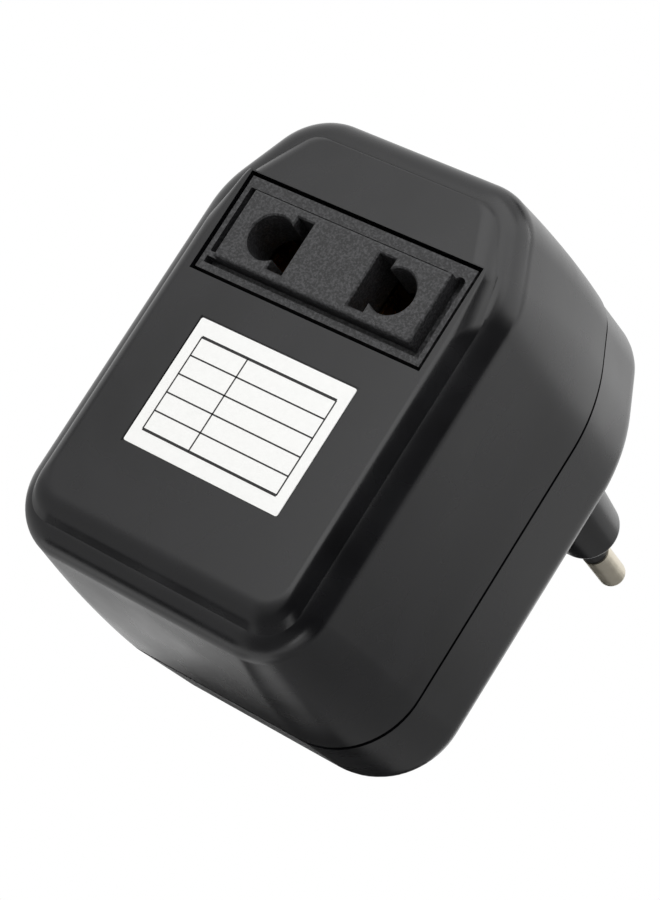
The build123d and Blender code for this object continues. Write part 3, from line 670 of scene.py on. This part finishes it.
def metal(name, colours, roughness, patch, marks, relief, direction):
    """Bare metal: its tint and shine drift in patches under fine tool marks. Sizes in mm."""
    material, surface, place = new_material(name)
    patches = add(
        material, "ShaderNodeTexNoise", {"Vector": place, "Scale": 1 / (patch * mm), "Detail": 2.0}
    )
    tint = add(
        material,
        "ShaderNodeMix",
        {0: patches.outputs["Fac"], 6: linear(colours[0]), 7: linear(colours[1])},
        data_type="RGBA",
    )
    shine = add(
        material,
        "ShaderNodeMapRange",
        {"Value": patches.outputs["Fac"], "From Min": noise_low, "From Max": noise_high,
         "To Min": roughness[0], "To Max": roughness[1]},
    )
    lines = add(
        material,
        "ShaderNodeTexWave",
        {"Vector": place, "Scale": 1 / (marks * mm) / bands_per_metre, "Distortion": 1.5,
         "Detail": 1.0},
        wave_type="BANDS",
        bands_direction=direction,
    )
    bump = add(material, "ShaderNodeBump", {"Height": lines.outputs["Fac"], "Distance": relief * mm})
    feed(surface, {
        "Base Color": tint.outputs[2],
        "Roughness": shine.outputs["Result"],
        "Metallic": 1.0,
        "Normal": bump.outputs["Normal"],
    })
    return material


# Zinc-plated steel, formed and tumbled: a cool grey with a soft broken shine.
steel_zinc = metal(
    "steel_zinc_plated", ("#8e9196", "#b3b5b8"), (0.3, 0.45),
    patch=1.2, marks=0.4, relief=0.004, direction="X",
)
coat([f"holder_screw_{i}" for i in (1, 2)], steel_zinc)

# The spring contacts.
# Two strips of brass, stamped and bent into a fork, one behind each keyhole.
# Each is pushed into its pocket in the holder and has a solder tail for its wires.

# Rolled brass strip: warm yellow with faint rolling lines along its length.
brass = metal(
    "brass_rolled", ("#b5893f", "#cda452"), (0.22, 0.36),
    patch=2.0, marks=0.35, relief=0.003, direction="Z",
)
coat(["contact_left", "contact_right"], brass)

# The plug pins and their sleeves.
# Turned brass pins, nickel-plated, moulded into the boss with 19 mm between them.
# A black nylon sleeve covers the inner 10 mm of each.

# Nickel plate over turned brass: a warm pale grey, softly brushed by use in sockets.
nickel = metal(
    "nickel_plated_turned", ("#d9d0bc", "#ebe4d3"), (0.3, 0.42),
    patch=1.6, marks=0.45, relief=0.003, direction="Y",
)
coat(["plug_pin_left", "plug_pin_right"], nickel)

# Black nylon sleeve: satin, with no grain that shows.
nylon_sleeve = moulded(
    "nylon_black_sleeve", ("#121213", "#19191a"), 1.53, (0.34, 0.46), patch=3, grain=0.6, relief=0.006
)
coat(["pin_sleeve_left", "pin_sleeve_right"], nylon_sleeve)

# The transformer's core.
# E and I shaped sheets of silicon steel, half a millimetre thick.
# They are stacked, pressed together and dipped in varnish.

varnish_stain = 4            # width of the darker and lighter patches in the varnish


def stacked_sheets(name, colours, sheet, relief):
    """Varnished edges of a stack of steel sheets that lie one behind another along Y. Sheet in mm."""
    material, surface, place = new_material(name)
    edges = add(
        material,
        "ShaderNodeTexWave",
        {"Vector": place, "Scale": 1 / (sheet * mm) / bands_per_metre, "Distortion": 0.4,
         "Detail": 1.0},
        wave_type="BANDS",
        bands_direction="Y",
        wave_profile="SAW",
    )
    stain = add(
        material,
        "ShaderNodeTexNoise",
        {"Vector": place, "Scale": 1 / (varnish_stain * mm), "Detail": 4.0},
    )
    tint = add(
        material,
        "ShaderNodeMix",
        {0: stain.outputs["Fac"], 6: linear(colours[0]), 7: linear(colours[1])},
        data_type="RGBA",
    )
    bump = add(material, "ShaderNodeBump", {"Height": edges.outputs["Fac"], "Distance": relief * mm})
    feed(surface, {
        "Base Color": tint.outputs[2],
        "Metallic": 0.7,
        "Roughness": 0.42,
        "Coat Weight": 0.5,
        "Coat Roughness": 0.2,
        "Normal": bump.outputs["Normal"],
    })
    return material


# Silicon steel under brown-grey varnish: dark, layered, with the varnish's wet shine.
silicon_steel = stacked_sheets(
    "silicon_steel_varnished", ("#4c4a48", "#63584c"), sheet=0.5, relief=0.06
)
coat(["core_e", "core_i"], silicon_steel)

# The bobbin.
# A nylon moulding that sits on the core's middle leg and holds both windings.
# The block on its end carries the three winding tags.

# Natural nylon: a milky white that light sinks into a little.
nylon_natural = moulded(
    "nylon_natural_moulded", ("#d8d2bf", "#e6e1d2"), 1.53, (0.35, 0.5), patch=6, grain=0.5, relief=0.01
)
feed(nylon_natural.node_tree.nodes["Principled BSDF"], {
    "Subsurface Weight": 0.1, "Subsurface Radius": (1.2 * mm, 1.0 * mm, 0.8 * mm)
})
coat(["bobbin"], nylon_natural)

# The windings.
# Two windings of enamelled copper wire, laid on the bobbin in close turns, one round the other.
# Each is held by a layer of yellow polyester tape.


def wound(name, colours, turn, relief):
    """Close turns of wire that lie one above another, with a painted highlight along each turn and
    painted shade between turns. Turn in mm.
    """
    material, surface, place = new_material(name)
    turns = add(
        material,
        "ShaderNodeTexWave",
        {"Vector": place, "Scale": 1 / (turn * mm) / bands_per_metre, "Distortion": 0.3,
         "Detail": 1.0},
        wave_type="BANDS",
        bands_direction="Z",
    )
    # The colour follows the turns: lighter on their crests as a painted highlight, darker in the
    # grooves between them as painted shade.
    tint = add(
        material,
        "ShaderNodeMix",
        {0: turns.outputs["Fac"], 6: linear(colours[0]), 7: linear(colours[1])},
        data_type="RGBA",
    )
    bump = add(material, "ShaderNodeBump", {"Height": turns.outputs["Fac"], "Distance": relief * mm})
    feed(surface, {
        "Base Color": tint.outputs[2],
        "Metallic": 0.8,
        "Roughness": 0.3,
        "Coat Weight": 0.6,
        "Coat Roughness": 0.15,
        "Normal": bump.outputs["Normal"],
    })
    return material


# Copper under clear red-brown enamel: rows of rounded turns 0.35 mm apart, each with a painted
# highlight along its crest and painted shade in the groove between turns.
copper = wound("copper_enamelled", ("#6e3214", "#b5652f"), turn=0.35, relief=0.12)
coat(["winding_inner", "winding_outer"], copper)

# Polyester film tape: yellow, half clear, with a slick plastic shine.
polyester = moulded(
    "polyester_film_yellow", ("#c9a02c", "#dab53f"), 1.6, (0.15, 0.28), patch=5, grain=1.5, relief=0.03
)
coat(["winding_tape", "winding_cover"], polyester)

# The winding tags and the thermal fuse.
# The tags are tinned brass pins pressed into the bobbin's block, where wires are soldered to them.
# The fuse has a small drawn aluminium case and lies against the winding.

# Hot-tinned wire: pale grey, softly rippled by the solder.
tin = metal(
    "tin_hot_dipped", ("#b9bab8", "#cfd0cd"), (0.25, 0.38),
    patch=0.8, marks=0.7, relief=0.01, direction="Z",
)
coat([f"winding_tag_{i}" for i in (1, 2, 3)], tin)

# Drawn aluminium case: pale, with fine marks round it from the die.
aluminium = metal(
    "aluminium_drawn", ("#b4b6ba", "#c8cacd"), (0.28, 0.36),
    patch=2.0, marks=0.4, relief=0.002, direction="X",
)
coat(["thermal_fuse"], aluminium)

# The case screws.
# Four pan-head self-tapping screws of zinc-plated steel, deep in the rear shell's holes.
# They pull the two shells together.
coat([f"case_screw_{i}" for i in (1, 2, 3, 4)], steel_zinc)

# The voltage selector.
# A slide switch with a moulded body, a stamped steel frame, six brass terminals and a red slider.
# Two screws hold it under the rear shell's top wall, and two copper jumpers cross its terminals.
coat(["switch_body"], nylon_black)
coat(["switch_frame", "switch_screw_1", "switch_screw_2"], steel_zinc)
coat([f"switch_terminal_{i}" for i in range(1, 7)], brass)
coat(["jumper_1", "jumper_2"], copper)

# Red ABS slider: plain moulded red, its ribs a little worn and dull.
abs_red = moulded(
    "abs_red_moulded", ("#8f1313", "#a81a18"), 1.53, (0.35, 0.5), patch=1.5, grain=0.4, relief=0.008
)
coat(["switch_slider"], abs_red)

# The wires.
# Stranded copper in extruded PVC, from plug and outlet to the selector and the winding tags.
# Their ends are soldered.

# Soft PVC insulation: smooth and slightly waxy, in black, blue and red.
for colour, shades, names in (
    ("black", ("#131313", "#1d1d1d"), ["wire_plug_switch", "wire_outlet_switch"]),
    ("blue", ("#16386f", "#1d4586"), ["wire_plug_common", "wire_outlet_common"]),
    ("red", ("#8a1614", "#a21d19"), ["wire_low_tap", "wire_high_tap"]),
):
    pvc = moulded(
        "pvc_" + colour + "_extruded", shades, 1.54, (0.32, 0.42), patch=4, grain=0.9, relief=0.008
    )
    coat(names, pvc)

# The label.
# White coated paper with a self-adhesive back, pressed into a shallow bed in the panel.
# It is printed with plain rules only.


def coated_paper(name, colours, fibre, relief):
    """Paper: hardly visible fibres under a smooth coat. Fibre in mm."""
    material, surface, place = new_material(name)
    fibres = add(
        material, "ShaderNodeTexNoise", {"Vector": place, "Scale": 1 / (fibre * mm), "Detail": 5.0}
    )
    tint = add(
        material,
        "ShaderNodeMix",
        {0: fibres.outputs["Fac"], 6: linear(colours[0]), 7: linear(colours[1])},
        data_type="RGBA",
    )
    bump = add(material, "ShaderNodeBump", {"Height": fibres.outputs["Fac"], "Distance": relief * mm})
    feed(surface, {
        "Base Color": tint.outputs[2],
        "Roughness": 0.48,
        "IOR": 1.5,
        "Normal": bump.outputs["Normal"],
    })
    return material


# Coated paper: bright white with a faint satin sheen.
paper_white = coated_paper("paper_white_coated", ("#f1f1ef", "#f8f8f6"), fibre=0.7, relief=0.01)
coat(["rating_label"], paper_white)

ink_depth = 0.02             # the label's face is 0.03 mm behind the panel
ink_thickness = 0.005
rule_width = 0.2
edge_rule_width = 0.35       # of the first and the last line
rule_side = 10.6
rule_rise = 6.6              # from the label's middle to the first line
rule_top = label_centre + rule_rise
rule_pitch = 2.65
rule_rows = 6
column = -3.2                # place of the upright line between the two sides
rule_heights = [rule_top - rule_pitch * row for row in range(rule_rows)]
strips = []
for z in rule_heights:
    width = edge_rule_width if z in (rule_heights[0], rule_heights[-1]) else rule_width
    strips.append((-rule_side, rule_side, z - width / 2, z + width / 2))
for x in (-rule_side, column, rule_side):
    strips.append((x - rule_width / 2, x + rule_width / 2, rule_heights[-1], rule_top))
ink_mesh = bmesh.new()
for x0, x1, z0, z1 in strips:
    strip = bmesh.ops.create_cube(ink_mesh, size=1)["verts"]
    near, far = at(x0, ink_depth - ink_thickness, z0), at(x1, ink_depth, z1)
    for v in strip:
        v.co = (near + far) / 2 + v.co * (far - near)
print_rules = mesh_piece("label_rules", ink_mesh)

# Black printing ink: matt, a little uneven, so that the rules aren't perfectly solid.
ink = moulded(
    "ink_black_printed", ("#101010", "#1c1c1c"), 1.5, (0.5, 0.6), patch=1, grain=0.3, relief=0.001
)
dress(print_rules, ink)

# Camera, lights, floor.
# The camera stands to the right of the part, below it and rolled, as in the photograph.
# Curved cards stand for the studio that the glossy case reflects; white paper lies far below.

camera_place = Vector((192.305, -344.411, -79.610)) * mm
camera_turn = radians(32.86)         # to the left of straight ahead, seen from above
camera_tilt = radians(10.23)         # upwards
camera_roll = radians(32.42)
image_height = 900
focal_pixels = 2905.4
near_clip = 10
camera_data = bpy.data.cameras.new("camera")
# The sensor's width lies along the picture's longer side, its height.
camera_data.lens = focal_pixels / image_height * camera_data.sensor_width
camera_data.clip_start = near_clip * mm
camera = bpy.data.objects.new("camera", camera_data)
bpy.context.scene.collection.objects.link(camera)
aim = Vector((
    -sin(camera_turn) * cos(camera_tilt), cos(camera_turn) * cos(camera_tilt), sin(camera_tilt)
))
to_right = Matrix.Rotation(-camera_roll, 3, aim) @ aim.cross(Vector((0, 0, 1))).normalized()
turned = Matrix((to_right, to_right.cross(aim), -aim)).transposed()
camera.matrix_world = Matrix.Translation(camera_place) @ turned.to_4x4()
bpy.context.scene.camera = camera

scene = bpy.context.scene
scene.view_settings.view_transform = "Standard"
world = bpy.data.worlds.new("studio")
scene.world = world
world.use_nodes = True
# The camera, shiny and clear surfaces see white. Matt surfaces get a little less light from it.
matt_light = 0.72
ray = add(world, "ShaderNodeLightPath", {})
camera_or_glossy = add(
    world,
    "ShaderNodeMath",
    {0: ray.outputs["Is Camera Ray"], 1: ray.outputs["Is Glossy Ray"]},
    operation="ADD",
)
seen = add(
    world,
    "ShaderNodeMath",
    {0: camera_or_glossy.outputs[0], 1: ray.outputs["Is Transmission Ray"]},
    operation="ADD",
    use_clamp=True,
)
strength = add(
    world, "ShaderNodeMapRange", {"Value": seen.outputs[0], "To Min": matt_light, "To Max": 1.0}
)
white = (1, 1, 1, 1)
black = (0, 0, 0, 1)
feed(world.node_tree.nodes["Background"], {"Color": white, "Strength": strength.outputs["Result"]})


def direction(azimuth, elevation):
    """Unit vector towards a place round the object; azimuth runs from the front to the right."""
    a, e = radians(azimuth), radians(elevation)
    return Vector((sin(a) * cos(e), -cos(a) * cos(e), sin(e)))


middle = at(0, 20, -14)      # middle of the case, round which the cards and the lamp stand
card_distance = 0.5
card_steps = 8


def curved_card(name, from_azimuth, to_azimuth, from_elevation, to_elevation, grey):
    """Curved card or softbox round the part. Only shiny surfaces see it; above 1 it is a light."""
    bm = bmesh.new()
    grid = [
        [bm.verts.new(middle + card_distance * direction(
            from_azimuth + (to_azimuth - from_azimuth) * i / card_steps,
            from_elevation + (to_elevation - from_elevation) * k / card_steps,
        )) for k in range(card_steps + 1)]
        for i in range(card_steps + 1)
    ]
    for i in range(card_steps):
        for k in range(card_steps):
            bm.faces.new((grid[i][k], grid[i + 1][k], grid[i + 1][k + 1], grid[i][k + 1]))
    card = mesh_piece(name, bm)
    felt = bpy.data.materials.new(name)
    felt.use_nodes = True
    feed(felt.node_tree.nodes["Principled BSDF"], {
        "Base Color": black, "Specular IOR Level": 0.0,
        "Emission Color": white, "Emission Strength": grey,
    })
    card.data.materials.append(felt)
    card.visible_camera = False
    card.visible_diffuse = False
    card.visible_shadow = False
    card.visible_transmission = False
    card.visible_volume_scatter = False
    card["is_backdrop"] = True


# Each with its azimuths and its elevations in degrees, and how bright it is.
cards = [
    ("softbox_top", -33, 30, 16, 58, 2.0),
    ("softbox_right", 30, 118, 27, 75, 1.7),
    ("softbox_right_edge", 96, 126, 52, 70, 5.0),
    ("softbox_front", -27, 3, 1, 14, 2.4),
    ("strip_low_right", 60, 68, -45, -22, 3.0),
    ("softbox_low_left", -146, -139, -26, -2, 1.0),
    ("card_low_right", 3, 112, -22, 25, 0.02),
    ("card_below_front", -20, 60, -76, -22, 0.2),
    ("card_below_front_left", -62, -20, -46, -22, 0.55),
    ("card_far_below_front_left", -46, -20, -76, -46, 0.55),
    ("card_low_front", -27, 3, -22, -3, 0.35),
    ("card_low_left", -139, -31, -22, -4, 0.5),
    ("card_below_left", -150, -62, -44, -22, 0.6),
    ("card_far_below_left", -150, -108, -76, -44, 0.6),
    ("card_under_crest", -76, -46, -62, -46, 0.03),
    ("card_right", 92, 135, -70, -22, 0.36),
    ("card_right_high", 112, 135, -22, 14, 0.4),
    ("card_left", -62, -37, 2, 9, 0.35),
    ("card_behind_low", -180, -146, -40, -4, 0.02),
    ("card_behind_right", 135, 180, -60, 7, 0.24),
    ("card_behind_right_high", 140, 180, 7, 22, 0.45),
    ("card_overhead", 120, 240, 74, 89, 0.1),
]
for card in cards:
    curved_card(*card)

# One real lamp, above and to the right, gives the matt surfaces their soft shading.
lamp_distance = 0.8
lamp_width = 0.5
lamp_height = 0.4
lamp_radiance = 4.0
lamp_data = bpy.data.lights.new("lamp_top_right", "AREA")
lamp_data.shape = "RECTANGLE"
lamp_data.size = lamp_width
lamp_data.size_y = lamp_height
lamp_data.energy = lamp_radiance * pi * lamp_width * lamp_height
lamp = bpy.data.objects.new("lamp_top_right", lamp_data)
away = direction(azimuth=20, elevation=42)
lamp.location = middle + away * lamp_distance
lamp.rotation_mode = "QUATERNION"
lamp.rotation_quaternion = away.to_track_quat("Z", "Y")
lamp.visible_glossy = False
scene.collection.objects.link(lamp)

# The part floats over the paper, as it does in the photograph.
floor_drop = 0.115
floor_half = 1.2
floor_mesh = bmesh.new()
floor_mesh.faces.new([
    floor_mesh.verts.new((x, y, -floor_drop)) for x, y in rectangle(floor_half, floor_half)
])
floor = mesh_piece("floor", floor_mesh)
floor.visible_glossy = False
paper_floor, surface, _ = new_material("paper_white_seamless")
feed(surface, {"Base Color": linear("#ededed"), "Roughness": 0.9})
floor.data.materials.append(paper_floor)
floor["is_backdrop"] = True

low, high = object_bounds()
